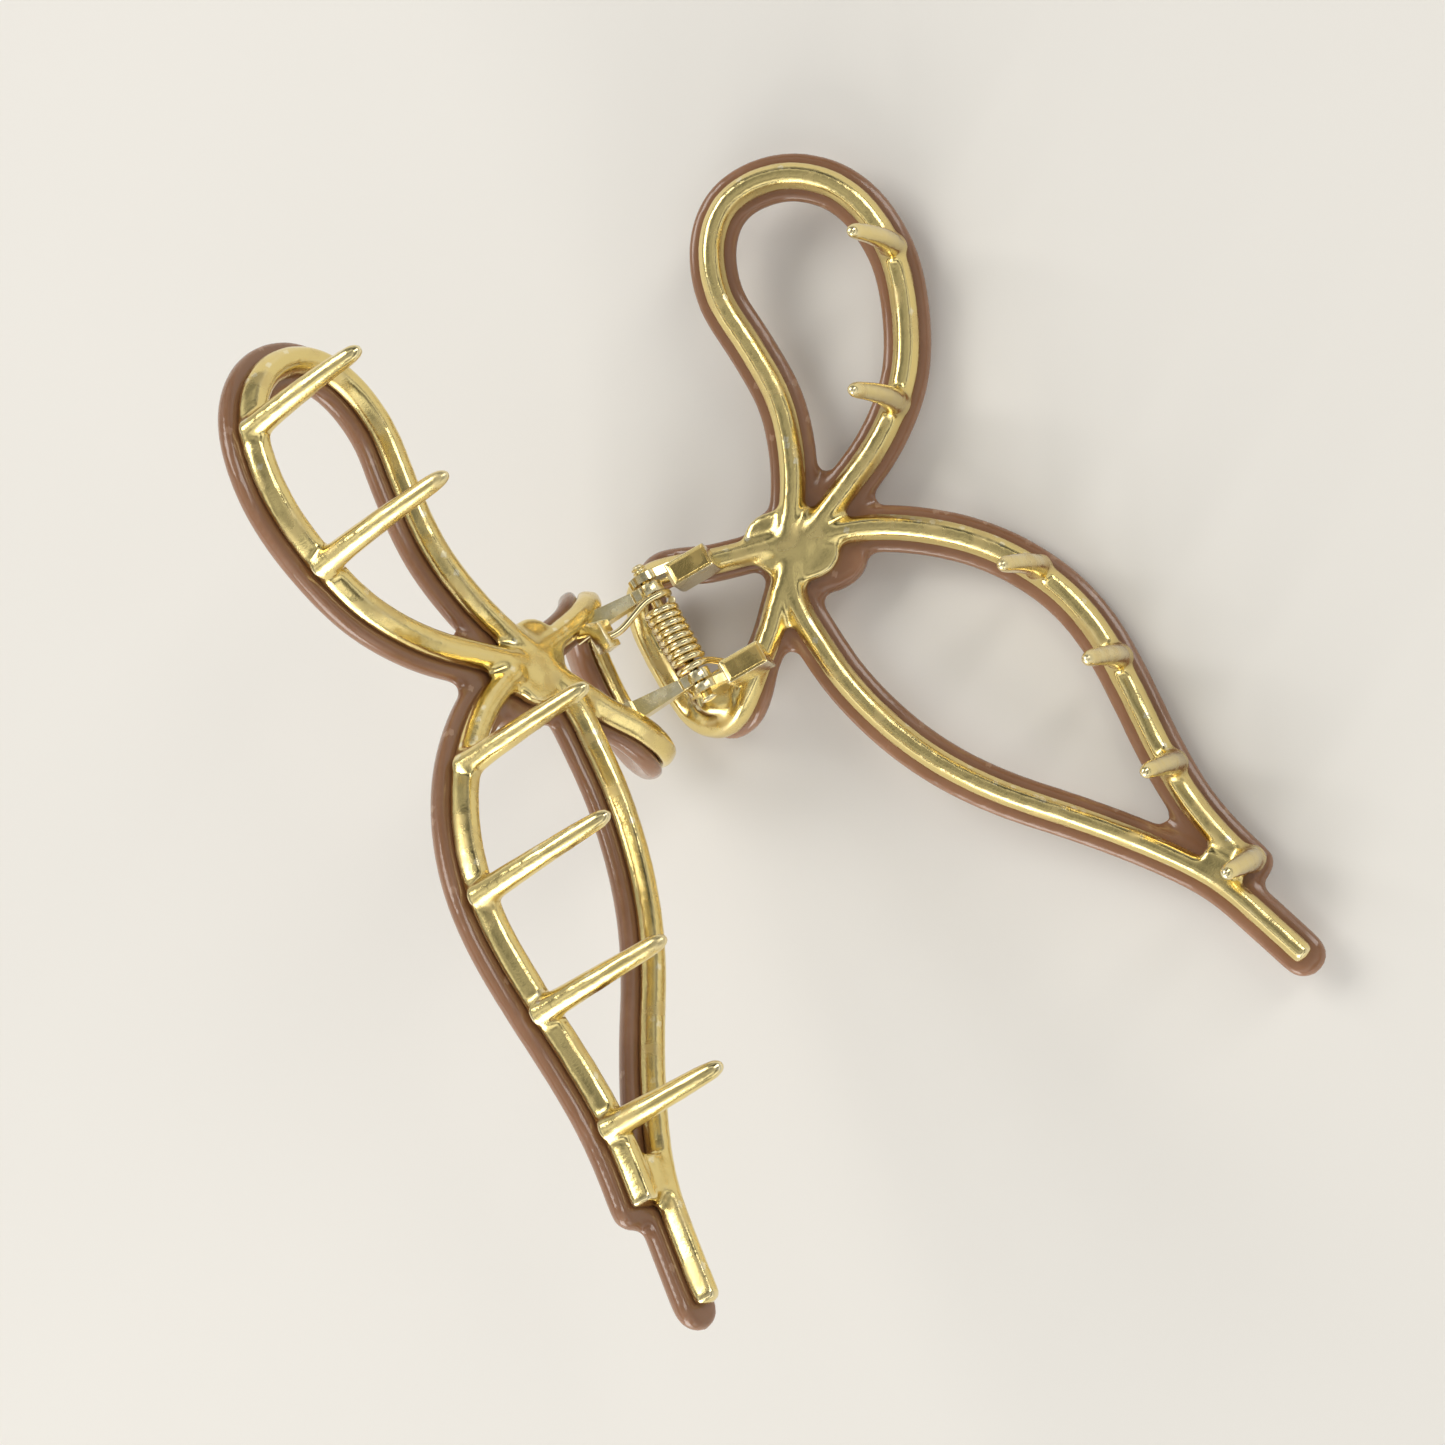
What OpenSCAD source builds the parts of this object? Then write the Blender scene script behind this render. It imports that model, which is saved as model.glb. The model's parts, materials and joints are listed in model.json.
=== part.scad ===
// Hair claw clip. Two mirrored open-work jaws turn on one pin; a torsion
// spring on the pin closes them. Each jaw is a cast metal frame with teeth
// and a moulded cover glued to its outside. Drawn fully open, lying on the
// back of the right jaw.
//
// Jaw coordinates: s runs along the hinge (+ toward the tail), r is the
// distance out from the hinge pin, h is the height toward the inside.

/* [Hinge] */
// Angle between the two jaws when the handles are squeezed together
open_angle = 120; // [100:1:124]
// Diameter of the hinge pin
pin_d = 1.5; // [1.2:0.1:1.6]
// Length of the hinge pin
pin_len = 20; // [19:0.5:22]
// Outer diameter of the knuckles and ears round the pin
knuckle_d = 4.2; // [3.8:0.1:4.4]
// Radial play between the pin and its bores
pin_play = 0.05; // [0.03:0.01:0.1]

/* [Frame] */
// Width of the cast bars at their foot
bar_w = 3.5; // [3:0.1:4]
// Height of the cast bars
bar_h = 2.6; // [2.2:0.1:3]
// Height of the hinge pin over the jaw, at the middle of the bars
jaw_drop = 7.7; // [7.4:0.1:8.4]
// How far the thumb handle bends outward past the hinge
handle_drop = 11.5; // [9:0.5:12]

/* [Teeth] */
// Distance between teeth on the leaf loop
leaf_pitch = 15.2; // [14:0.1:15.5]
// Distance between the two teeth on the small loop
loop_pitch = 17.6; // [16:0.1:18]
// How far the right jaw's teeth sit toward the tail, so the rows interleave
tooth_shift = 8.4; // [7:0.1:9]
// Width of a tooth at its root
tooth_w = 3.4; // [2.8:0.1:3.6]
// How far a tooth tip leans back toward the hinge
tooth_lean = 4; // [2:0.5:5]

/* [Cover] */
// Width of the moulded cover strip behind each bar
cover_w = 6.4; // [5.6:0.1:6.8]
// Width of the cover strip behind the handle bars
handle_cover_w = 5.2; // [4.8:0.1:5.4]
// Thickness of the moulded cover
cover_t = 2.8; // [2:0.1:3.2]

/* [Spring] */
// Wire diameter of the torsion spring
wire_d = 0.95; // [0.8:0.05:1]
// Outer diameter of the spring coil
coil_d = 4.8; // [4.4:0.05:4.9]
// Number of turns in the coil
coil_turns = 8; // [7:1:8]

/* [Hidden] */

gold = [0.80, 0.70, 0.42];
resin = [0.42, 0.27, 0.19];
$fn = 48;

// Where the hinge sits in the shared frame, and how the part lies.
lie_tilt = 11.6;
hinge_pos = [-11.8, 14.52, 20.816];
hinge_mid = 1.3;

// Curvature of the jaw: across its width, along its length, and the handle.
dish_across = 0.00104;
dish_along = 0.00116;
dish_mid = [20, 25];
bend_r = 7;
handle_end_r = -6;
bend_k = handle_drop / pow(bend_r - handle_end_r, 2);

// Centre lines of the bars, as [s, r].
small_loop_line = [
    [-1.5, 16.5], [-7, 21], [-13, 24.3], [-20, 26.4], [-28, 26.5],
    [-35, 26.2], [-41, 28.3], [-44.8, 32.2], [-45.6, 37], [-44, 42.2],
    [-40, 46.4], [-34.5, 48.4], [-27.5, 48.3], [-20, 45.6],
    [-13.5, 41.4], [-8.5, 35], [-5.5, 28.5], [-2.5, 21]
];
leaf_tooth_line = [
    [-1.5, 22.5], [0.8, 28.5], [4.4, 34], [9, 39], [14.5, 43],
    [21, 45.9], [28, 47.1], [36, 46.9], [44, 46.3], [51, 46.3],
    [57, 47.2], [63, 48.9]
];
leaf_back_line = [
    [0, 16.8], [5, 15.1], [10.5, 15.2], [16, 15.7], [22, 17.1],
    [28, 19.3], [34, 22.5], [40, 26.9], [46, 32.3], [52, 37.4],
    [58, 41.9], [63, 44.8], [69, 46.9], [75.3, 48.9]
];
handle_line = [
    [-0.5, 17], [3.2, 13.2], [6, 10.5], [8.6, 7.3], [11.3, 3.9],
    [13, 0.6], [12.6, -2.8], [9.6, -5.2], [5, -5.9], [0, -6], [-4.6, -5.6],
    [-8, -4], [-9, -0.8], [-7.7, 3], [-6.1, 7.2], [-4.8, 11.5],
    [-3.4, 17]
];
hub_at = [-2.3, 18.4];
hub_half = [4.6, 6.5];
cover_hub_at = [-1.4, 19.8];
cover_hub_half = [6.2, 8.2];
hub_turn = 45;

// Tooth feet and heights, from the small loop's end toward the tail.
small_teeth_s = [-37.4, -37.4 + loop_pitch];
small_teeth_rise = [17, 20];
leaf_teeth_s = [for (i = [0:3]) 8 + i * leaf_pitch];
leaf_teeth_rise = [19, 19.5, 18, 15.5];

// Hinge stack, measured both ways from its middle.
knuckle_in = 5.65;
knuckle_t = 1.6;
ear_in = 7.45;
ear_t = 1.3;
coil_mid_r = (coil_d - wire_d) / 2;
coil_pitch = wire_d + 0.06;
leg_gap = 0.1;

// ---- curve and sheet functions ----

function unit(v) = v / norm(v);

function height(p) =
    -jaw_drop + dish_across * pow(p[1] - dish_mid[1], 2)
    + dish_along * pow(p[0] - dish_mid[0], 2)
    - (p[1] < bend_r ? bend_k * pow(bend_r - p[1], 2) : 0);

function on_jaw(p) = [p[1], -p[0], height(p)];

function jaw_normal(p) = unit(cross(
    on_jaw(p + [0, 0.1]) - on_jaw(p - [0, 0.1]),
    on_jaw(p - [0.1, 0]) - on_jaw(p + [0.1, 0])));

// Catmull-Rom curve through hand-placed points, n steps per span.
function blend4(a, b, c, d, t) = 0.5 * (2 * b + (c - a) * t
    + (2 * a - 5 * b + 4 * c - d) * t * t
    + (3 * b - a - 3 * c + d) * t * t * t);

function smooth(line, n) = let (m = len(line) - 1) [
    for (i = [0:m - 1]) for (k = [0:n - 1])
        let (a = i == 0 ? 2 * line[0] - line[1] : line[i - 1],
             d = i == m - 1 ? 2 * line[m] - line[m - 1] : line[i + 2])
        blend4(a, line[i], line[i + 1], d, k / n),
    line[m]
];

// r of the nearest point of a line at a given s, between two of its points.
function r_at(line, s, i) =
    (line[i][0] - s) * (line[i + 1][0] - s) <= 0
    ? line[i][1] + (line[i + 1][1] - line[i][1])
        * (s - line[i][0]) / (line[i + 1][0] - line[i][0])
    : r_at(line, s, i + 1);

// ---- solids swept along a line ----

// rings: list of closed rings with equal point counts.
module skin(rings) {
    n = len(rings[0]);
    m = len(rings);
    polyhedron(
        points = [for (ring = rings) each ring],
        faces = [
            [for (j = [0:n - 1]) j],
            for (i = [0:m - 2]) for (j = [0:n - 1])
                each [
                    [i * n + j, (i + 1) * n + j, i * n + (j + 1) % n],
                    [i * n + (j + 1) % n, (i + 1) * n + j,
                     (i + 1) * n + (j + 1) % n]
                ],
            [for (j = [n - 1:-1:0]) (m - 1) * n + j]
        ]);
}

// Sweeps a section over the jaw; each section point is [across, up].
// tip: length of a rounded nose added past the far end.
// cut: a loop is made as two runs that meet at this point of its line.
module strip(line, section, steps = 3, end_scale = 1, tip = 0, cut = 0) {
    pts = smooth(line, steps);
    m = len(pts) - 1;
    mid = (max([for (q = section) q[1]]) + min([for (q = section) q[1]])) / 2;
    nose = tip > 0 ? [25, 50, 70, 85] : [];
    rings = [for (i = [0:m + len(nose)])
        let (p = pts[min(i, m)],
             along = unit(on_jaw(pts[min(i + 1, m)])
                          - on_jaw(pts[max(min(i, m) - 1, 0)])),
             side = unit(cross(jaw_normal(p), along)),
             up = cross(along, side),
             turn = i > m ? nose[i - m - 1] : 0,
             k = (1 + (end_scale - 1) * min(i, m) / m) * cos(turn))
        [for (q = section) on_jaw(p) + tip * sin(turn) * along
            + k * q[0] * side + (mid + (q[1] - mid) * cos(turn)) * up]];
    if (cut == 0)
        skin(rings);
    else {
        skin([for (i = [0:cut * steps]) rings[i]]);
        skin([for (i = [cut * steps:len(rings) - 1]) rings[i]]);
    }
}

bar_foot = -bar_h / 2;
bar_section = [
    [-bar_w / 2, bar_foot], [bar_w / 2, bar_foot],
    [bar_w / 2, bar_foot + bar_h * 0.45], [bar_w * 0.24, bar_h / 2],
    [-bar_w * 0.24, bar_h / 2], [-bar_w / 2, bar_foot + bar_h * 0.45]
];
cover_top = bar_foot - 0.06;

// Half-round back with a flat face toward the frame.
function cover_section(w) = [
    [-w / 2, cover_top - cover_t * 0.55],
    [-w * 0.4, cover_top - cover_t * 0.88],
    [-w * 0.27, cover_top - cover_t],
    [w * 0.27, cover_top - cover_t],
    [w * 0.4, cover_top - cover_t * 0.88],
    [w / 2, cover_top - cover_t * 0.55],
    [w / 2, cover_top - cover_t * 0.25],
    [w * 0.46, cover_top],
    [-w * 0.46, cover_top],
    [-w / 2, cover_top - cover_t * 0.25]
];

// An oval plate lying on the jaw.
module oval(at, half, low, high) {
    translate(on_jaw(at))
        translate([0, 0, low])
            rotate([0, 0, -hub_turn])
                linear_extrude(high - low)
                    polygon([for (a = [0:9:351])
                        [half[1] * cos(a), half[0] * sin(a)]]);
}

// ---- parts of one jaw, in jaw coordinates ----

module small_loop() strip(small_loop_line, bar_section, cut = 8);

module leaf_tooth_bar() strip(leaf_tooth_line, bar_section, end_scale = 0.95);

module leaf_back_bar()
    strip(leaf_back_line, bar_section, end_scale = 0.8, tip = 0.5);

// Small web that fills the crotch where the two leaf bars meet.
module leaf_tip_web()
    strip([[58.6, 44.4], [62.6, 46.8]], bar_section, steps = 1);

module hub() oval(hub_at, hub_half, bar_foot, 0.7);

module handle_loop() strip(handle_line, bar_section, cut = 8);

// A tooth's section has a ridge on its outer and inner side, and full flanks.
function ridged(v, power) = sign(v) * pow(abs(v), power);

// Curved, tapering tooth with a rounded tip.
module tooth(line, s, rise) {
    foot = [s, r_at(line, s, 0) + 0.7];
    base = on_jaw(foot);
    tip_round = 0.9;
    levels = [0, 0.07, 0.15, 0.3, 0.45, 0.6, 0.75, 0.92, 0.96, 0.985, 1];
    skin([for (t = levels)
        let (flare = t < 0.15 ? 0.22 * pow(1 - t / 0.15, 2) : 0,
             w = (1 - 0.36 * t + flare) * tooth_w / 2,
             shrink = t > 0.92 ? sqrt(1 - pow((t - 0.92) / 0.08, 2) * tip_round) : 1)
        [for (a = [0:22.5:337.5])
            base + [w * shrink * ridged(cos(a), 1.3) - tooth_lean * pow(t, 1.7),
                    w * shrink * ridged(sin(a), 0.85),
                    -0.6 + (rise + 0.6) * t]]]);
}

module small_teeth(shift)
    for (i = [0:1])
        tooth([for (i = [8:15]) small_loop_line[i]],
              small_teeth_s[i] + shift, small_teeth_rise[i]);

module leaf_teeth(shift)
    for (i = [0:3])
        tooth(leaf_tooth_line, leaf_teeth_s[i] + shift, leaf_teeth_rise[i]);

module cover_small_loop()
    strip(small_loop_line, cover_section(cover_w), cut = 8);

module cover_leaf_tooth_side()
    strip(leaf_tooth_line, cover_section(cover_w), end_scale = 0.95, tip = 2);

module cover_leaf_back_side()
    strip(leaf_back_line, cover_section(cover_w), end_scale = 0.9, tip = 2.6);

module cover_hub()
    oval(cover_hub_at, cover_hub_half, cover_top - cover_t, cover_top);

module cover_handle()
    strip(handle_line, cover_section(handle_cover_w), cut = 8);

// Moves a shape drawn in a plane across the hinge to stand at s.
module across_hinge(s, thick)
    translate([0, -s, 0])
        rotate([90, 0, 0])
            translate([0, 0, -thick / 2])
                linear_extrude(thick)
                    children();

bore_d = pin_d + 2 * pin_play;

// One block with the thin ear that holds the end of the pin.
module hinge_block(side) {
    ear_s = hinge_mid + side * (ear_in + ear_t / 2);
    foot_s = ear_s - side * (side < 0 ? 1.2 : 0.4);
    block_w = 3.1;
    difference() {
        union() {
            across_hinge(foot_s, block_w)
                polygon([[3.2, -7.2], [8.8, -6.8], [8.8, 0.2], [3.2, 0.6]]);
            across_hinge(ear_s, ear_t) {
                circle(d = knuckle_d);
                polygon([[0, -knuckle_d / 2], [4, -6.4], [4, 0.5],
                         [0, knuckle_d / 2]]);
            }
        }
        across_hinge(ear_s, 3 * ear_t)
            circle(d = bore_d);
    }
}

// One long tapered arm that ends in a knuckle between the ears.
module hinge_arm(side) {
    arm_s = hinge_mid + side * (knuckle_in + knuckle_t / 2);
    difference() {
        across_hinge(arm_s, knuckle_t) {
            circle(d = knuckle_d);
            polygon([[-1, -1.85], [3.6, -8.2], [6.8, -7], [1.2, 1.72]]);
        }
        across_hinge(arm_s, 3 * knuckle_t)
            circle(d = bore_d);
    }
}

// C-shaped hook on a short post, open toward the hinge, for one spring leg.
module spring_hook() {
    back_r = 9.1;
    depth = 2.2;
    leg_s = -1.65;
    low_h = -5.2;
    high_h = -2.9;
    slot = wire_d + 0.2;
    wall = 0.9;
    difference() {
        union() {
            translate([back_r - depth, -leg_s - slot / 2 - wall, low_h])
                cube([depth, 3.8, high_h - low_h]);
            translate([back_r - depth, -leg_s + 1.2, -7.4])
                cube([depth, 1.6, 3]);
        }
        translate([back_r - depth - 1, -leg_s - slot / 2, low_h - 1])
            cube([depth - wall + 1, slot, 5]);
    }
}

// ---- hinge pin and spring, on the hinge axis ----

module pin_shape() {
    low = -(hinge_mid + pin_len / 2 - 0.2);
    rib_d = pin_d + 0.3;
    translate([0, low, 0])
        rotate([-90, 0, 0]) {
            cylinder(d = pin_d, h = pin_len);
            for (i = [0:2])
                translate([0, 0, pin_len - 0.35 - i * 0.42])
                    cylinder(d = rib_d, h = 0.25);
            cylinder(d = pin_d + 0.6, h = 0.5);
        }
}

// Round wire along a list of 3-D points.
module wire(pts) {
    m = len(pts) - 1;
    skin([for (i = [0:m])
        let (along = unit(pts[min(i + 1, m)] - pts[max(i - 1, 0)]),
             side = unit(cross(along, abs(along[1]) > 0.9
                 ? [1, 0, 0] : [0, 1, 0])),
             up = cross(side, along))
        [for (a = [0:36:324])
            pts[i] + wire_d / 2 * (cos(a) * side - sin(a) * up)]]);
}

coil_half = coil_turns * coil_pitch / 2;
leg_out = coil_half + wire_d + leg_gap;

module coil_shape()
    wire([for (a = [0:20:coil_turns * 360])
        [coil_mid_r * cos(a), -hinge_mid - coil_half + a / 360 * coil_pitch,
         coil_mid_r * sin(a)]]);

// A leg leaves the end of the coil on a tangent. It stays level along the
// hinge until it is clear of the turns, then bends to its place.
// turn: angle of the tangent point; y0, y1: places along the hinge.
module leg_shape(turn, sweep, y0, y1, reach)
    wire(concat(
        [for (k = [0:6]) let (a = turn - sweep * (1 - k / 6))
            [coil_mid_r * cos(a), y0, coil_mid_r * sin(a)]],
        let (dir = sign(sweep) * [-sin(turn), cos(turn)],
             at = coil_mid_r * [cos(turn), sin(turn)])
        [for (k = [1:5])
            [at[0] + dir[0] * reach * k / 5, y0 + (y1 - y0) * min(1, max(0, k - 1) / 3),
             at[1] + dir[1] * reach * k / 5]]));

// ---- placing ----

module right_jaw(c)
    translate(hinge_pos)
        rotate([0, lie_tilt, 0])
            color(c)
                children();

module left_jaw(c)
    translate(hinge_pos)
        rotate([0, lie_tilt + 180 - open_angle, 0])
            mirror([1, 0, 0])
                color(c)
                    children();

module right_small_loop() right_jaw(gold) small_loop();
module right_leaf_tooth_bar() right_jaw(gold) leaf_tooth_bar();
module right_leaf_back_bar() right_jaw(gold) leaf_back_bar();
module right_leaf_tip_web() right_jaw(gold) leaf_tip_web();
module right_hub() right_jaw(gold) hub();
module right_handle() right_jaw(gold) handle_loop();
module right_hinge_blocks() right_jaw(gold) {
    hinge_block(-1);
    hinge_block(1);
}
module right_small_loop_teeth() right_jaw(gold) small_teeth(tooth_shift);
module right_leaf_teeth() right_jaw(gold) leaf_teeth(tooth_shift);
module right_cover_small_loop() right_jaw(resin) cover_small_loop();
module right_cover_leaf_tooth_side() right_jaw(resin) cover_leaf_tooth_side();
module right_cover_leaf_back_side() right_jaw(resin) cover_leaf_back_side();
module right_cover_hub() right_jaw(resin) cover_hub();
module right_cover_handle() right_jaw(resin) cover_handle();
module hinge_pin() right_jaw(gold) pin_shape();
module spring_coil() right_jaw(gold) coil_shape();
module spring_leg_right() right_jaw(gold)
    leg_shape(30, -122, -hinge_mid - leg_out, -7.7, 6.5);

module left_small_loop() left_jaw(gold) small_loop();
module left_leaf_tooth_bar() left_jaw(gold) leaf_tooth_bar();
module left_leaf_back_bar() left_jaw(gold) leaf_back_bar();
module left_leaf_tip_web() left_jaw(gold) leaf_tip_web();
module left_hub() left_jaw(gold) hub();
module left_handle() left_jaw(gold) handle_loop();
module left_hinge_arms() left_jaw(gold) {
    hinge_arm(-1);
    hinge_arm(1);
}
module left_spring_hook() left_jaw(gold) spring_hook();
module left_small_loop_teeth() left_jaw(gold) small_teeth(0);
module left_leaf_teeth() left_jaw(gold) leaf_teeth(0);
module left_cover_small_loop() left_jaw(resin) cover_small_loop();
module left_cover_leaf_tooth_side() left_jaw(resin) cover_leaf_tooth_side();
module left_cover_leaf_back_side() left_jaw(resin) cover_leaf_back_side();
module left_cover_hub() left_jaw(resin) cover_hub();
module left_cover_handle() left_jaw(resin) cover_handle();
module spring_leg_left() left_jaw(gold)
    leg_shape(52, -100, -hinge_mid + leg_out, 1.65, 8.2);

right_small_loop();
right_leaf_tooth_bar();
right_leaf_back_bar();
right_leaf_tip_web();
right_hub();
right_handle();
right_hinge_blocks();
right_small_loop_teeth();
right_leaf_teeth();
right_cover_small_loop();
right_cover_leaf_tooth_side();
right_cover_leaf_back_side();
right_cover_hub();
right_cover_handle();
hinge_pin();
spring_coil();
spring_leg_right();
left_small_loop();
left_leaf_tooth_bar();
left_leaf_back_bar();
left_leaf_tip_web();
left_hub();
left_handle();
left_hinge_arms();
left_spring_hook();
left_small_loop_teeth();
left_leaf_teeth();
left_cover_small_loop();
left_cover_leaf_tooth_side();
left_cover_leaf_back_side();
left_cover_hub();
left_cover_handle();
spring_leg_left();
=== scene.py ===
import json
import math

import bmesh
import bpy
from mathutils import Matrix, Vector

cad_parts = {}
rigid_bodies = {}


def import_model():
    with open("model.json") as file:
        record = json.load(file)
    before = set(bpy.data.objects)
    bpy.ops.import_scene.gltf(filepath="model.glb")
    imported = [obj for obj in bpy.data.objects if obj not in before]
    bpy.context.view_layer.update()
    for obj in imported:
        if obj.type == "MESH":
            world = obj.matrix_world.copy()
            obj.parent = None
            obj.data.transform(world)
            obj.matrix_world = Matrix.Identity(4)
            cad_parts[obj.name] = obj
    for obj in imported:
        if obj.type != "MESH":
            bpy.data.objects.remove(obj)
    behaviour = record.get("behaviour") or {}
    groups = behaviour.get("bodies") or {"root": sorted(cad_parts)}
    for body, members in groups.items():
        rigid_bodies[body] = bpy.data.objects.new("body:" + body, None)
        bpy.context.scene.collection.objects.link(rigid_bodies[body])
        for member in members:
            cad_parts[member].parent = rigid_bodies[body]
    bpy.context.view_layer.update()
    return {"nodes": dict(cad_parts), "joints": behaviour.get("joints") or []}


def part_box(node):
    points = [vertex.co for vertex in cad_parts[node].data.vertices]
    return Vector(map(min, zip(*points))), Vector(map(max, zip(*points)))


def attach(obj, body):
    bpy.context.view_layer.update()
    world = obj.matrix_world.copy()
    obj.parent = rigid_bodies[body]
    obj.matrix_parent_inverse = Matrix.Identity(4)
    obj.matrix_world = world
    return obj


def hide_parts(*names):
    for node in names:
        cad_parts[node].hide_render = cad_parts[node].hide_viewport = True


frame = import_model()
mm = 0.001
hingeAt = Vector(frame["joints"][0]["pos_m"])
lying = {"tilt": 11.6, "openAngle": 120}     # how the open clip lies on its right jaw
print("frame loaded,", len(frame["nodes"]), "nodes")


def take(*pieces):
    if bpy.context.mode != "OBJECT":
        bpy.ops.object.mode_set(mode="OBJECT")
    bpy.ops.object.select_all(action="DESELECT")
    for piece in pieces:
        piece.select_set(True)
    bpy.context.view_layer.objects.active = pieces[0]
    return pieces[0]


def editing(piece):
    take(piece)
    bpy.ops.object.mode_set(mode="EDIT")
    bpy.ops.mesh.select_mode(type="VERT")
    bpy.ops.mesh.select_all(action="SELECT")
    return bmesh.from_edit_mesh(piece.data)


def done():
    bpy.ops.object.mode_set(mode="OBJECT")


def addModifier(piece, kind, **values):
    take(piece)
    modifier = piece.modifiers.new(kind.title(), kind)
    for name, value in values.items():
        setattr(modifier, name, value)
    bpy.ops.object.modifier_apply(modifier=modifier.name)


def settle(piece):
    # the object ends at the origin, with its place in its mesh
    take(piece)
    bpy.ops.object.transform_apply(location=True, rotation=True, scale=True)


def fixNormals(piece):
    editing(piece)
    bpy.ops.mesh.normals_make_consistent(inside=False)
    done()


def joinAll(pieces, name):
    take(*pieces)
    bpy.ops.object.join()
    piece = bpy.context.object
    piece.name = name
    piece.data.name = name
    return piece


def jawPlace(side):
    # jaw coordinates: x out from the pin, y against s, z toward the inside
    turn = lying["tilt"] + (180 - lying["openAngle"] if side == "left" else 0)
    place = Matrix.Translation(hingeAt) @ Matrix.Rotation(math.radians(turn), 4, "Y")
    return place @ Matrix.Scale(-1, 4, (1, 0, 0)) if side == "left" else place


def copyNode(node):
    take(frame["nodes"][node])
    bpy.ops.object.duplicate()
    piece = bpy.context.object
    bpy.ops.object.parent_clear(type="CLEAR_KEEP_TRANSFORM")
    for key in [k for k in piece.keys() if k.startswith("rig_")]:
        del piece[key]
    piece.name = "copy_" + node
    return piece


def weld(piece, quadAngle=14):
    editing(piece)
    bpy.ops.mesh.remove_doubles(threshold=0.01 * mm)
    mesh = bmesh.from_edit_mesh(piece.data)
    # the two ends that meet inside a loop are taken out
    shared = {v for e in mesh.edges if len(e.link_faces) > 2 for v in e.verts}
    for face in mesh.faces:
        face.select = all(v in shared for v in face.verts)
    bmesh.update_edit_mesh(piece.data)
    bpy.ops.mesh.select_mode(type="FACE")
    if any(face.select for face in mesh.faces):
        bpy.ops.mesh.delete(type="ONLY_FACE")
    bpy.ops.mesh.select_all(action="SELECT")
    bpy.ops.mesh.tris_convert_to_quads(
        face_threshold=math.radians(quadAngle), shape_threshold=math.radians(70))
    done()


def smoothCopy(node, crease, sharpAngle, levels):
    piece = copyNode(node)
    weld(piece)
    editing(piece)
    bpy.ops.mesh.select_mode(type="EDGE")
    bpy.ops.mesh.select_all(action="DESELECT")
    bpy.ops.mesh.edges_select_sharp(sharpness=math.radians(sharpAngle))
    bpy.ops.transform.edge_crease(value=crease)
    done()
    addModifier(piece, "SUBSURF", levels=levels, render_levels=levels)
    return piece


def surfaceNoise(name, size):
    texture = bpy.data.textures.new(name, "CLOUDS")
    texture.noise_scale = size
    texture.noise_depth = 1
    return texture


def roundCorners(piece, voxel, radius):
    # grow, weld and shrink again, which fills the inner corners
    addModifier(piece, "REMESH", mode="VOXEL", voxel_size=voxel)
    addModifier(piece, "SMOOTH", factor=0.5, iterations=4)
    addModifier(piece, "DISPLACE", strength=radius, mid_level=0)
    addModifier(piece, "REMESH", mode="VOXEL", voxel_size=voxel)
    addModifier(piece, "SMOOTH", factor=0.5, iterations=3)
    addModifier(piece, "DISPLACE", strength=-radius, mid_level=0)
    addModifier(piece, "REMESH", mode="VOXEL", voxel_size=voxel)


def triangles(piece):
    piece.data.calc_loop_triangles()
    return len(piece.data.loop_triangles)


def thin(piece, most):
    count = triangles(piece)
    if count > most:
        addModifier(piece, "DECIMATE", ratio=most / count)


casting = {
    "crease": 0.62,          # how crisp the ridge of a bar stays
    "levels": 3,
    "voxel": 0.26 * mm,
    "fillet": 0.5 * mm,     # radius in the corners between bars
    "melt": 3,               # rounds of smoothing, as plating rounds an edge
    "bossHalf": (4.8 * mm, 4.4 * mm, 1.55 * mm),  # soft mound where the bars meet
    "hubMelt": 30, "hubReach": 8.5 * mm,
    # metal that fills the corners at the thumb end: place on the jaw and half sizes
    "gussets": {"right": [((1.6, -9.6, -9.0), (4.6, 3.1, 1.4))], "left": []},
    "waveSize": 2.2 * mm,    # unevenness of the cast surface
    "waveDepth": 0.05 * mm,
    "mostTriangles": 190000,
}


def softMound(side, at, half):
    # a flattened ball lying on the jaw, to be melted into the bars
    bpy.ops.object.select_all(action="DESELECT")
    bpy.ops.mesh.primitive_uv_sphere_add(segments=48, ring_count=24, radius=1)
    mound = bpy.context.object
    turn = jawPlace(side).to_3x3().to_4x4()
    mound.matrix_world = Matrix.Translation(at) @ turn @ Matrix.Diagonal((*half, 1))
    settle(mound)
    fixNormals(mound)
    return mound


def meltNear(piece, at, reach, rounds):
    # extra smoothing that fades out with distance from a point
    group = piece.vertex_groups.new(name="melt")
    for vertex in piece.data.vertices:
        share = 1 - (vertex.co - at).length / reach
        if share > 0:
            group.add([vertex.index], min(1, 2 * share), "REPLACE")
    addModifier(piece, "SMOOTH", factor=0.5, iterations=rounds, vertex_group="melt")
    piece.vertex_groups.clear()


def castFrame(side, nodes):
    bars = [smoothCopy(f"{side}_{node}", casting["crease"], 24, casting["levels"])
            for node in nodes]
    low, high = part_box(side + "_hub")
    hubAt = (low + high) / 2
    mounds = [softMound(side, hubAt, casting["bossHalf"])]
    mounds += [softMound(side, jawPlace(side) @ (Vector(at) * mm), Vector(half) * mm)
               for at, half in casting["gussets"][side]]
    piece = joinAll(bars + mounds, f"{side}_cast_frame")
    roundCorners(piece, casting["voxel"], casting["fillet"])
    meltNear(piece, hubAt, casting["hubReach"], casting["hubMelt"])
    addModifier(piece, "SMOOTH", factor=0.5, iterations=casting["melt"])
    addModifier(piece, "DISPLACE", texture=surfaceNoise(side + "Waves", casting["waveSize"]),
                texture_coords="LOCAL", strength=casting["waveDepth"], mid_level=0.5)
    thin(piece, casting["mostTriangles"])
    bpy.ops.object.shade_smooth()
    return piece


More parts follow.
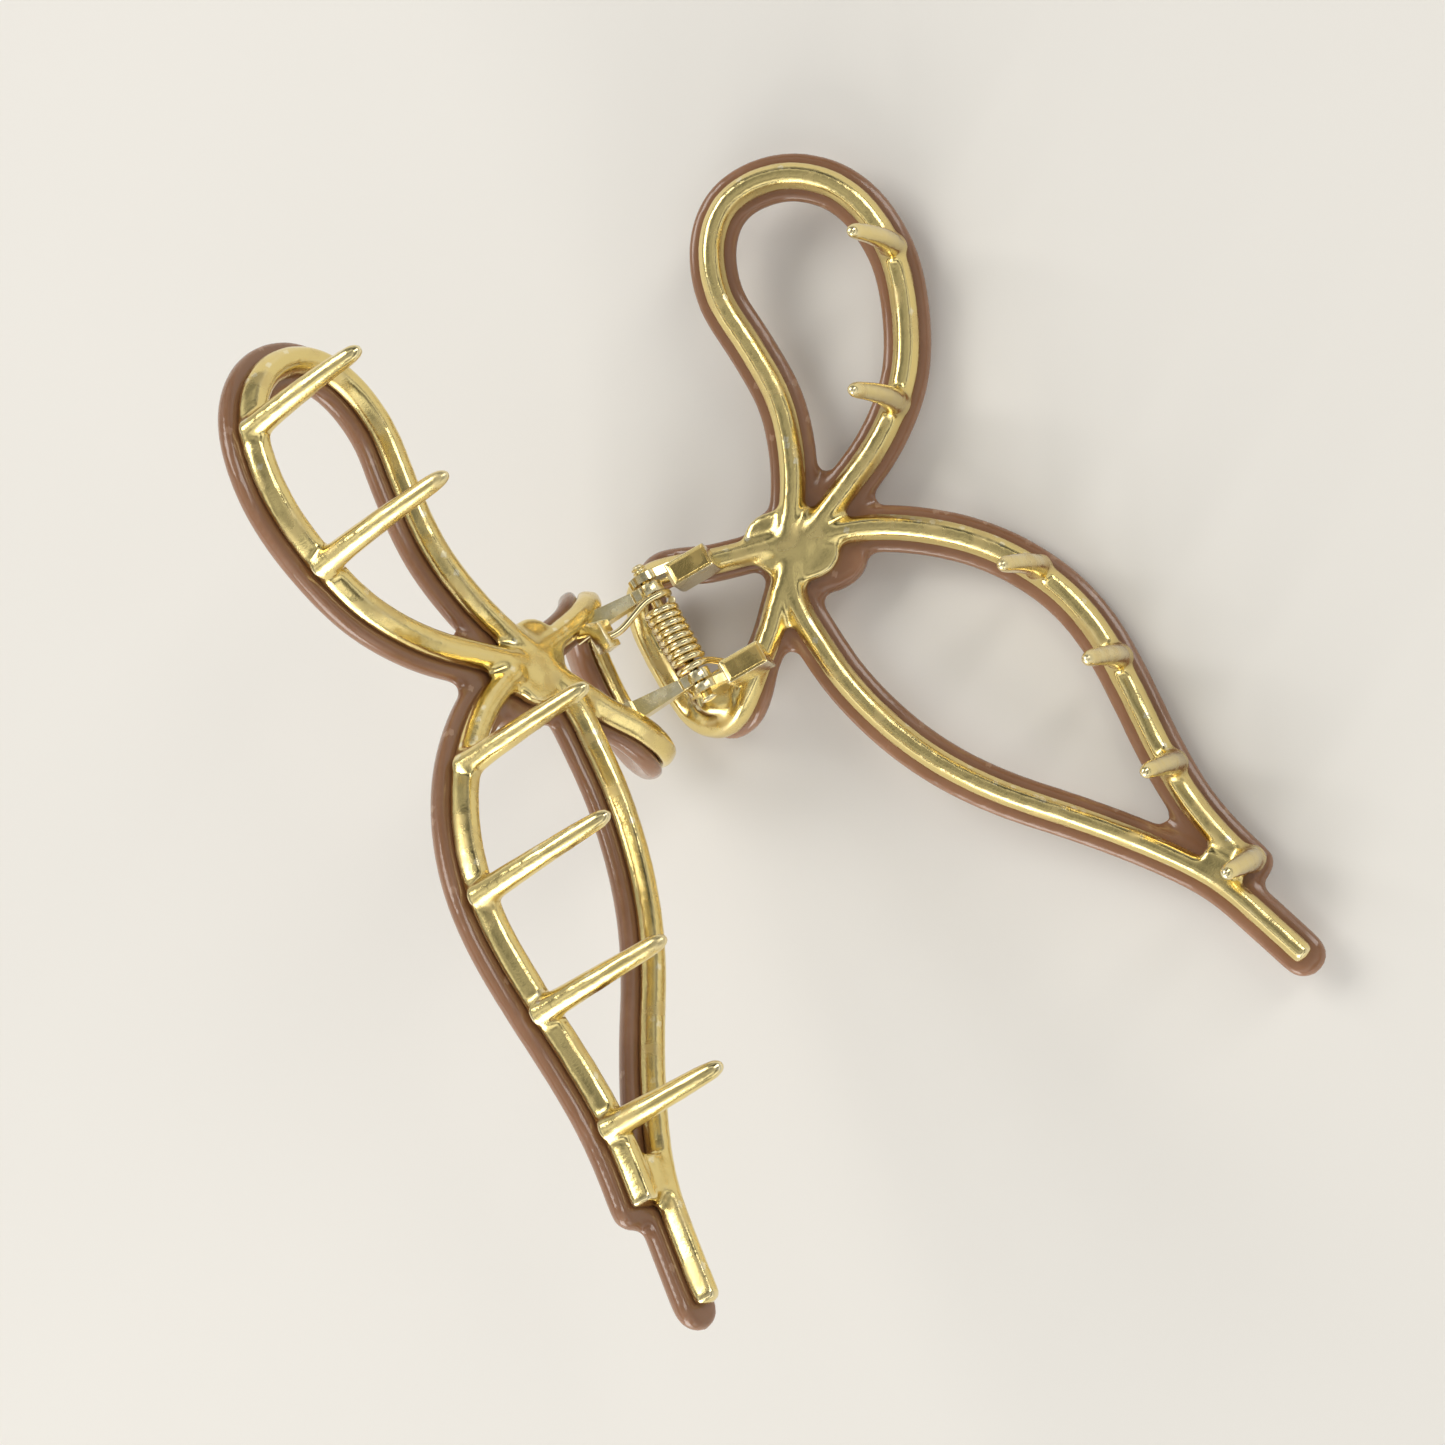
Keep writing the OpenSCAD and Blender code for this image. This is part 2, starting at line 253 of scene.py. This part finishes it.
frameNodes = ["small_loop", "leaf_tooth_bar", "leaf_back_bar", "leaf_tip_web", "hub",
              "handle", "small_loop_teeth", "leaf_teeth"]
rightFrame = castFrame("right", frameNodes)
leftFrame = castFrame("left", frameNodes)
print("cast frames", triangles(rightFrame), triangles(leftFrame))


cover = {
    "crease": 0.25,
    "levels": 2,
    "voxel": 0.3 * mm,
    "fillet": 0.9 * mm,      # the moulding fills its inner corners
    "melt": 6,
    "mostTriangles": 170000,
}


def mouldedCover(side, nodes):
    strips = [smoothCopy(f"{side}_{node}", cover["crease"], 30, cover["levels"])
              for node in nodes]
    piece = joinAll(strips, f"{side}_moulded_cover")
    roundCorners(piece, cover["voxel"], cover["fillet"])
    addModifier(piece, "SMOOTH", factor=0.5, iterations=cover["melt"])
    thin(piece, cover["mostTriangles"])
    bpy.ops.object.shade_smooth()
    return piece


coverNodes = ["cover_small_loop", "cover_leaf_tooth_side", "cover_leaf_back_side",
              "cover_hub", "cover_handle"]
rightCover = mouldedCover("right", coverNodes)
leftCover = mouldedCover("left", coverNodes)
print("covers", triangles(rightCover), triangles(leftCover))


hingeStack = {
    "middle": 1.3 * mm,      # s of the middle of the stack
    "bore": 0.8 * mm, "knuckle": 1.8 * mm, "ear": 2.08 * mm,
    "armOut": 6.45 * mm, "armThick": 1.35 * mm,
    "earOut": 8.05 * mm, "earThick": 1.1 * mm,
    "edge": 0.14 * mm,
}


def addBox(low, high):
    low, high = Vector(low) * mm, Vector(high) * mm
    bpy.ops.object.select_all(action="DESELECT")
    bpy.ops.mesh.primitive_cube_add(size=1, location=(low + high) / 2, scale=high - low)
    piece = bpy.context.object
    settle(piece)
    return piece


def addRound(radius, length, x, y, z=0, vertices=64):
    # a cylinder across the jaw, along the hinge pin
    bpy.ops.object.select_all(action="DESELECT")
    bpy.ops.mesh.primitive_cylinder_add(
        vertices=vertices, radius=radius, depth=length, location=(x, y, z),
        rotation=(math.pi / 2, 0, 0))
    piece = bpy.context.object
    settle(piece)
    return piece


def combine(piece, other, operation):
    addModifier(piece, "BOOLEAN", object=other, operation=operation, solver="EXACT")
    bpy.data.objects.remove(other)


def pickFaces(piece, test):
    mesh = editing(piece)
    bpy.ops.mesh.select_mode(type="FACE")
    for face in mesh.faces:
        face.select = test(face)
    mesh.select_flush_mode()
    bmesh.update_edit_mesh(piece.data)
    return mesh


def pullFace(piece, test, move, scale=(1, 1, 1)):
    # extrudes the picked face and resizes its far end about its own middle
    pickFaces(piece, test)
    bpy.ops.mesh.extrude_region_move(
        TRANSFORM_OT_translate={"value": Vector(move) * mm})
    mesh = bmesh.from_edit_mesh(piece.data)
    ends = [v.co.copy() for v in mesh.verts if v.select]
    centre = sum(ends, Vector()) / len(ends)
    bpy.ops.transform.resize(value=scale, center_override=centre)
    done()


def softEdges(piece, width, segments=2, angle=35):
    addModifier(piece, "BEVEL", width=width, segments=segments, limit_method="ANGLE",
                angle_limit=math.radians(angle), use_clamp_overlap=True)


def placeOnJaw(piece, side):
    piece.matrix_world = jawPlace(side) @ piece.matrix_world
    settle(piece)
    fixNormals(piece)
    take(piece)
    bpy.ops.object.shade_smooth_by_angle(angle=math.radians(38))
    addModifier(piece, "WEIGHTED_NORMAL", keep_sharp=True)
    return piece


block = {
    "low": (3.3, -1.55, -6.9), "high": (8.9, 1.55, 0.35),
    "rim": 0.42 * mm, "recess": -0.38 * mm,
    "shiftIn": {-1: 1.15, 1: 0.4},    # how far each block sits inside its ear
}


def hingeBlock(side):
    middle = -hingeStack["middle"] - side * hingeStack["earOut"]    # y of the ear
    y = middle / mm + side * block["shiftIn"][side]
    lowX, lowY, lowZ = block["low"]
    highX, highY, highZ = block["high"]
    body = addBox((lowX, y + lowY, lowZ), (highX, y + highY, highZ))
    pullFace(body, lambda f: f.normal.x < -0.9, (-0.5, 0, -0.35), (1, 0.84, 0.8))
    pickFaces(body, lambda f: f.normal.z > 0.95 and f.calc_center_median().x > lowX * mm)
    bpy.ops.mesh.inset(thickness=block["rim"], depth=block["recess"])
    done()
    softEdges(body, hingeStack["edge"])
    ear = addRound(hingeStack["ear"], hingeStack["earThick"], 0, middle)
    half = hingeStack["earThick"] / mm / 2
    web = addBox((0.3, middle / mm - half, -2.0), (1.7, middle / mm + half, 1.1))
    pullFace(web, lambda f: f.normal.x > 0.9, (2.2, 0, -2.0), (1, 1, 1.4))
    combine(ear, web, "UNION")
    combine(ear, addRound(hingeStack["bore"], 4 * hingeStack["earThick"], 0, middle), "DIFFERENCE")
    softEdges(ear, hingeStack["edge"] * 0.8)
    return joinAll([body, ear], "block")


def hingeBlocks():
    piece = joinAll([hingeBlock(-1), hingeBlock(1)], "right_hinge_brackets")
    return placeOnJaw(piece, "right")


arm = {
    "root": (5.3, -7.7),         # x and z of the foot of an arm
    "length": 9.35, "turn": 124.5,
    "foot": (-1.0, 1.5, 1.65),
    # length added, then how the section grows: shoulder, shank, seam (2), neck.
    # The last one stops short of the bore.
    "taper": [(0.35, 0.84, 0.84), (6.4, 0.66, 0.72), (0.1, 0.88, 0.88), (0.16, 1.13, 1.13),
              (1.25, 0.98, 1.3)],
    "neck": (7.2, 0.66, 1.3), "facet": 0.42 * mm,
}


def hingeArm(side):
    # modelled along +X from its foot, then turned into place
    y = -(hingeStack["middle"] + side * hingeStack["armOut"]) / mm
    start, halfY, halfZ = arm["foot"]
    body = addBox((start, -halfY, -halfZ), (0.2, halfY, halfZ))
    front = lambda f: f.normal.x > 0.95
    for reach, scaleY, scaleZ in arm["taper"]:
        pullFace(body, front, (reach, 0, 0), (1, scaleY, scaleZ))
    softEdges(body, arm["facet"], 3)
    knuckle = addRound(hingeStack["knuckle"], hingeStack["armThick"], arm["length"] * mm, 0)
    neckStart, neckY, neckZ = arm["neck"]
    neck = addBox((neckStart, -neckY, -neckZ), (arm["length"], neckY, neckZ))
    combine(knuckle, neck, "UNION")
    bore = addRound(hingeStack["bore"], 4 * hingeStack["armThick"], arm["length"] * mm, 0)
    combine(knuckle, bore, "DIFFERENCE")
    softEdges(knuckle, hingeStack["edge"])
    piece = joinAll([body, knuckle], "arm")
    x, z = arm["root"]
    piece.matrix_world = (Matrix.Translation(Vector((x, y, z)) * mm)
                          @ Matrix.Rotation(-math.radians(arm["turn"]), 4, "Y"))
    settle(piece)
    return piece


def hingeArms():
    piece = joinAll([hingeArm(-1), hingeArm(1)], "left_arms")
    return placeOnJaw(piece, "left")


def springHook():
    piece = copyNode("left_spring_hook")
    editing(piece)
    bpy.ops.mesh.remove_doubles(threshold=0.005 * mm)
    bpy.ops.mesh.dissolve_limited(angle_limit=math.radians(2))
    done()
    softEdges(piece, 0.14 * mm)
    bpy.ops.object.shade_smooth_by_angle(angle=math.radians(38))
    piece.name = "left_spring_bracket"
    return piece


pin = {"radius": 0.75, "headRadius": 1.05, "ribRadius": 0.95, "ribs": 4, "ribPitch": 0.5}


def hingePin():
    low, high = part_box("hinge_pin")
    length = (high.y - low.y) / mm
    bpy.ops.object.select_all(action="DESELECT")
    bpy.ops.mesh.primitive_circle_add(vertices=40, radius=0.7 * pin["headRadius"] * mm,
                                      fill_type="NGON", rotation=(-math.pi / 2, 0, 0),
                                      location=(0, low.y - hingeAt.y, 0))
    piece = bpy.context.object
    settle(piece)
    # places along the pin and radii, from the head to the ribbed end
    places = [(0.12, pin["headRadius"]), (0.5, pin["headRadius"]), (0.55, pin["radius"])]
    ribStart = length - 0.15 - pin["ribs"] * pin["ribPitch"]
    for i in range(pin["ribs"]):
        at = ribStart + i * pin["ribPitch"]
        places += [(at, pin["radius"] * 0.96), (at + 0.12, pin["ribRadius"]),
                   (at + 0.3, pin["ribRadius"]), (at + 0.42, pin["radius"] * 0.96)]
    places += [(length - 0.08, pin["radius"] * 0.9), (length, pin["radius"] * 0.6)]
    radius, reached = 0.7 * pin["headRadius"], 0
    editing(piece)
    for at, nextRadius in places:
        bpy.ops.mesh.extrude_region_move(
            TRANSFORM_OT_translate={"value": (0, (at - reached) * mm, 0)})
        grow = nextRadius / radius
        centre = (0, low.y - hingeAt.y + at * mm, 0)
        bpy.ops.transform.resize(value=(grow, 1, grow), center_override=centre)
        radius, reached = nextRadius, at
    done()
    piece.matrix_world = jawPlace("right")
    settle(piece)
    fixNormals(piece)
    softEdges(piece, 0.04 * mm, 1, 30)
    take(piece)
    bpy.ops.object.shade_smooth_by_angle(angle=math.radians(50))
    piece.name = "ribbed_pin"
    return piece


springLook = {"shrink": 0.03 * mm}     # what smoothing a ten-sided wire takes off its radius


def springWire(node, name):
    piece = smoothCopy(node, 0.5, 60, 2)
    editing(piece)
    bpy.ops.mesh.select_all(action="SELECT")
    bpy.ops.transform.shrink_fatten(value=springLook["shrink"])
    done()
    take(piece)
    bpy.ops.object.shade_smooth()
    piece.name = name
    return piece


hingeParts = [
    (hingeBlocks(), "right_half", "gold_casting", "right_hinge_blocks"),
    (hingeArms(), "left_half", "gold_casting", "left_hinge_arms"),
    (springHook(), "left_half", "gold_casting", "left_spring_hook"),
    (hingePin(), "right_half", "pin_steel", "hinge_pin"),
    (springWire("spring_coil", "wound_coil"), "right_half", "spring_steel", "spring_coil"),
    (springWire("spring_leg_right", "coil_leg_right"), "right_half", "spring_steel",
     "spring_leg_right"),
    (springWire("spring_leg_left", "coil_leg_left"), "left_half", "spring_steel",
     "spring_leg_left"),
]
print("hinge parts made")


def addSocket(group, name, kind, inOut, value=None):
    socket = group.interface.new_socket(name=name, in_out=inOut, socket_type=kind)
    if value is not None:
        socket.default_value = value


def link(tree, *pairs):
    for source, target in pairs:
        tree.links.new(source, target)


def mathNode(tree, operation, a, b):
    node = tree.nodes.new("ShaderNodeMath")
    node.operation = operation
    for slot, value in enumerate((a, b)):
        if isinstance(value, (int, float)):
            node.inputs[slot].default_value = value
        else:
            tree.links.new(value, node.inputs[slot])
    return node.outputs[0]


def noiseNode(tree, place, scale, detail, rough=0.5):
    node = tree.nodes.new("ShaderNodeTexNoise")
    node.inputs["Detail"].default_value = detail
    node.inputs["Roughness"].default_value = rough
    tree.links.new(place, node.inputs["Vector"])
    if isinstance(scale, (int, float)):
        node.inputs["Scale"].default_value = scale
    else:
        tree.links.new(scale, node.inputs["Scale"])
    return node.outputs["Fac"]


def mapRange(tree, value, low, high, outLow=0.0, outHigh=1.0):
    node = tree.nodes.new("ShaderNodeMapRange")
    tree.links.new(value, node.inputs["Value"])
    for name, number in (("From Min", low), ("From Max", high),
                         ("To Min", outLow), ("To Max", outHigh)):
        node.inputs[name].default_value = number
    return node.outputs["Result"]


def makeGrainGroup():
    # fine pits and soft waves of a cast or moulded surface, and where it is duller
    group = bpy.data.node_groups.new("surfaceGrain", "ShaderNodeTree")
    addSocket(group, "Grain Scale", "NodeSocketFloat", "INPUT", 2500)
    addSocket(group, "Wave Scale", "NodeSocketFloat", "INPUT", 300)
    addSocket(group, "Wave Share", "NodeSocketFloat", "INPUT", 0.6)
    addSocket(group, "Height", "NodeSocketFloat", "OUTPUT")
    addSocket(group, "Dull Patches", "NodeSocketFloat", "OUTPUT")
    given = group.nodes.new("NodeGroupInput").outputs
    result = group.nodes.new("NodeGroupOutput").inputs
    place = group.nodes.new("ShaderNodeTexCoord").outputs["Object"]
    grain = noiseNode(group, place, given["Grain Scale"], 3, 0.6)
    wave = noiseNode(group, place, given["Wave Scale"], 2)
    wave = mathNode(group, "MULTIPLY", wave, given["Wave Share"])
    fine = mathNode(group, "SUBTRACT", 1.0, given["Wave Share"])
    fine = mathNode(group, "MULTIPLY", grain, fine)
    link(group, (mathNode(group, "ADD", wave, fine), result["Height"]))
    patches = noiseNode(group, place, mathNode(group, "MULTIPLY", given["Wave Scale"], 0.6), 4)
    link(group, (mapRange(group, patches, 0.5, 0.66), result["Dull Patches"]))
    return group


def makeCurvatureGroup():
    # brighter edges and darker, dirtier hollows, found from how the surface bends; on the metal
    # the brighter edges are wear, on the resin cover they are a painted highlight
    group = bpy.data.node_groups.new("curvatureWearAndHighlight", "ShaderNodeTree")
    addSocket(group, "Spread", "NodeSocketFloat", "INPUT", 0.04)
    addSocket(group, "Edges", "NodeSocketFloat", "OUTPUT")
    addSocket(group, "Hollows", "NodeSocketFloat", "OUTPUT")
    given = group.nodes.new("NodeGroupInput").outputs
    result = group.nodes.new("NodeGroupOutput").inputs
    bend = group.nodes.new("ShaderNodeNewGeometry").outputs["Pointiness"]
    place = group.nodes.new("ShaderNodeTexCoord").outputs["Object"]
    rough = noiseNode(group, place, 900, 3)
    rough = mapRange(group, rough, 0.35, 0.65, 0.5, 1.0)
    out = mathNode(group, "DIVIDE", mathNode(group, "SUBTRACT", bend, 0.5), given["Spread"])
    edges = mathNode(group, "MULTIPLY", mapRange(group, out, 0.25, 1.0), rough)
    hollows = mapRange(group, out, -0.25, -1.0)
    link(group, (edges, result["Edges"]), (hollows, result["Hollows"]))
    return group


grainGroup = makeGrainGroup()
curvatureGroup = makeCurvatureGroup()


def useGroup(tree, group, **values):
    node = tree.nodes.new("ShaderNodeGroup")
    node.node_tree = group
    for name, value in values.items():
        node.inputs[name.replace("_", " ")].default_value = value
    return node.outputs


def mixColor(tree, share, a, b):
    node = tree.nodes.new("ShaderNodeMix")
    node.data_type = "RGBA"
    sockets = [s for s in node.inputs if s.type == "RGBA"]
    for socket, value in zip(sockets, (a, b)):
        if isinstance(value, tuple):
            socket.default_value = (*value, 1)
        else:
            tree.links.new(value, socket)
    tree.links.new(share, node.inputs["Factor"])
    return [s for s in node.outputs if s.type == "RGBA"][0]


def newMaterial(name, **values):
    material = bpy.data.materials.new(name)
    material.use_nodes = True
    shader = material.node_tree.nodes["Principled BSDF"]
    for key, value in values.items():
        shader.inputs[key.replace("_", " ")].default_value = value
    return material, material.node_tree, shader


def addBump(tree, shader, height, strength, distance):
    bump = tree.nodes.new("ShaderNodeBump")
    bump.inputs["Strength"].default_value = strength
    bump.inputs["Distance"].default_value = distance
    link(tree, (height, bump.inputs["Height"]), (bump.outputs["Normal"], shader.inputs["Normal"]))


def platedMetal(name, look):
    material, tree, shader = newMaterial(name, Metallic=1.0)
    grain = useGroup(tree, grainGroup, Grain_Scale=look["grainScale"],
                     Wave_Scale=look["waveScale"], Wave_Share=look["waveShare"])
    curvature = useGroup(tree, curvatureGroup, Spread=0.05)
    plate = mixColor(tree, grain["Dull Patches"], look["plate"], look["dullPlate"])
    plate = mixColor(tree, curvature["Hollows"], plate, look["hollow"])
    plate = mixColor(tree, curvature["Edges"], plate, look["edge"])
    rough = mathNode(tree, "MULTIPLY", grain["Dull Patches"], look["patchRoughness"])
    rough = mathNode(tree, "ADD", rough, look["roughness"])
    link(tree, (plate, shader.inputs["Base Color"]), (rough, shader.inputs["Roughness"]))
    addBump(tree, shader, grain["Height"], look["bump"], look["bumpDepth"])
    return material


goldPlating = {
    "plate": (0.83, 0.67, 0.28), "dullPlate": (0.76, 0.60, 0.26),
    "edge": (0.95, 0.86, 0.58), "hollow": (0.62, 0.42, 0.12),
    "roughness": 0.17, "patchRoughness": 0.2,
    "grainScale": 3200, "waveScale": 420, "waveShare": 0.7,
    "bump": 0.5, "bumpDepth": 0.12 * mm,
}
springPlating = dict(goldPlating, plate=(0.86, 0.72, 0.40), roughness=0.14,
                     grainScale=5200, bump=0.12)
castGold = platedMetal("castGoldPlating", goldPlating)
wireGold = platedMetal("springWireGold", springPlating)

mochaLook = {
    # edge: a painted highlight, a lighter rim along the cover's rounded edges
    "body": (0.26, 0.125, 0.06), "lighter": (0.30, 0.15, 0.078), "edge": (0.40, 0.24, 0.15),
    "bump": 0.12, "bumpDepth": 0.1 * mm,
}


def mochaResin():
    material, tree, shader = newMaterial(
        "mochaResin", Coat_Weight=0.4, Coat_Roughness=0.08, Subsurface_Weight=0.2,
        Subsurface_Scale=1.2 * mm, Subsurface_Radius=(1.0, 0.45, 0.3), IOR=1.49)
    grain = useGroup(tree, grainGroup, Grain_Scale=1800, Wave_Scale=160, Wave_Share=0.8)
    curvature = useGroup(tree, curvatureGroup, Spread=0.06)
    body = mixColor(tree, grain["Dull Patches"], mochaLook["body"], mochaLook["lighter"])
    # painted highlight: the cover's sharp edges are mixed toward the lighter edge colour
    body = mixColor(tree, curvature["Edges"], body, mochaLook["edge"])
    rough = mathNode(tree, "ADD", mathNode(tree, "MULTIPLY", grain["Dull Patches"], 0.08), 0.2)
    link(tree, (body, shader.inputs["Base Color"]), (rough, shader.inputs["Roughness"]))
    addBump(tree, shader, grain["Height"], mochaLook["bump"], mochaLook["bumpDepth"])
    return material


mocha = mochaResin()
print("materials made")


def finishPiece(piece, material, body, nodes=()):
    piece.data.materials.clear()
    piece.data.materials.append(material)
    if nodes:
        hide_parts(*nodes)
        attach(piece, body)


for side, castPiece, coverPiece in (("right", rightFrame, rightCover),
                                    ("left", leftFrame, leftCover)):
    finishPiece(castPiece, castGold, side + "_half",
                [f"{side}_{node}" for node in frameNodes])
    finishPiece(coverPiece, mocha, side + "_half",
                [f"{side}_{node}" for node in coverNodes])

for part, body, slotName, node in hingeParts:
    finishPiece(part, castGold if slotName == "gold_casting" else wireGold, body, [node])


room = {
    "floorSize": 6, "floorColor": (0.79, 0.765, 0.715),
    "sky": [(0.0, 0.55), (0.2, 1.2), (0.42, 1.05), (0.5, 0.2), (0.62, 0.25), (0.72, 1.1),
            (0.86, 0.9), (0.94, 0.4), (1.0, 0.55)],
    "windowSide": (-0.6, -0.7, 0.3), "windowFade": (-0.8, 0.9, 0.45, 1.25),
    "patchScale": 2.4, "patchFade": (0.36, 0.6, 0.3, 1.2), "skyStrength": 0.9,
    "lampTint": (1, 0.98, 0.94),
}


def makeFloor():
    bpy.ops.object.select_all(action="DESELECT")
    bpy.ops.mesh.primitive_plane_add(size=room["floorSize"])
    floor = bpy.context.object
    floor.name = "floor"
    material, tree, shader = newMaterial("palePlaster", Roughness=0.85)
    place = tree.nodes.new("ShaderNodeTexCoord").outputs["Object"]
    tone = mapRange(tree, noiseNode(tree, place, 6, 3), 0.3, 0.7)
    pale = room["floorColor"]
    paint = mixColor(tree, tone, pale, tuple(c * 0.97 for c in pale))
    link(tree, (paint, shader.inputs["Base Color"]))
    floor.data.materials.append(material)


def skyRamp(tree):
    # brightness by height: floor bounce, bright walls, a dark band, a soft ceiling
    ramp = tree.nodes.new("ShaderNodeValToRGB")
    stops = ramp.color_ramp.elements
    while len(stops) < len(room["sky"]):
        stops.new(0.5)
    for stop, (place, light) in zip(stops, room["sky"]):
        stop.position, stop.color = place, (light, light, light, 1)
    return ramp


def makeSky():
    world = bpy.data.worlds.new("softRoom")
    bpy.context.scene.world = world
    world.use_nodes = True
    tree = world.node_tree
    background = tree.nodes["Background"]
    ramp = skyRamp(tree)
    place = tree.nodes.new("ShaderNodeTexCoord").outputs["Generated"]
    split = tree.nodes.new("ShaderNodeSeparateXYZ")
    toward = tree.nodes.new("ShaderNodeVectorMath")
    toward.operation = "DOT_PRODUCT"
    toward.inputs[1].default_value = Vector(room["windowSide"]).normalized()
    link(tree, (place, toward.inputs[0]))
    side = mapRange(tree, toward.outputs["Value"], *room["windowFade"])
    # broad darker areas, as furniture and a doorway give
    patches = mapRange(tree, noiseNode(tree, place, room["patchScale"], 1), *room["patchFade"])
    side = mathNode(tree, "MULTIPLY", side, patches)
    link(tree, (place, split.inputs[0]), (split.outputs["Z"], ramp.inputs["Fac"]),
         (ramp.outputs["Color"], background.inputs["Color"]),
         (mathNode(tree, "MULTIPLY", side, room["skyStrength"]), background.inputs["Strength"]))


def addSoftbox(name, toward, distance, size, power):
    place = Vector(toward).normalized() * distance
    bpy.ops.object.light_add(type="AREA", location=place)
    lamp = bpy.context.object
    lamp.name = name
    lamp.rotation_euler = (-place).to_track_quat("-Z", "Y").to_euler()
    lamp.data.shape = "RECTANGLE"
    lamp.data.size, lamp.data.size_y = size
    lamp.data.energy = power
    lamp.data.color = room["lampTint"]


def addCamera():
    view = {"target": (-8.8, -1.3, 30), "distance": 323, "azimuth": -24.6,
            "elevation": 69.9, "roll": 95.7, "lens": 64.8}
    around, up = math.radians(view["azimuth"]), math.radians(view["elevation"])
    back = Vector((math.cos(up) * math.cos(around), math.cos(up) * math.sin(around), math.sin(up)))
    level = (-back).cross(Vector((0, 0, 1))).normalized()
    plain = level.cross(-back)
    roll = math.radians(view["roll"])
    top = plain * math.cos(roll) + level * math.sin(roll)
    right = top.cross(back)
    bpy.ops.object.camera_add()
    camera = bpy.context.object
    camera.data.lens = view["lens"]
    camera.data.sensor_width = 36
    camera.data.clip_start = 0.01
    turn = Matrix((right, top, back)).transposed().to_4x4()
    spot = (Vector(view["target"]) + back * view["distance"]) * mm
    camera.matrix_world = Matrix.Translation(spot) @ turn
    bpy.context.scene.camera = camera


makeFloor()
makeSky()
addSoftbox("windowLight", (-0.67, -0.72, 0.45), 1.1, (0.6, 0.8), 6.5)
addSoftbox("overheadLight", (-0.35, 0.75, 0.9), 1.3, (0.8, 0.5), 6)
addSoftbox("sideLight", (0.95, 0.25, 0.7), 1.3, (0.3, 0.9), 3.5)
addCamera()
bpy.context.scene.view_settings.view_transform = "Standard"

print("pieces finished")
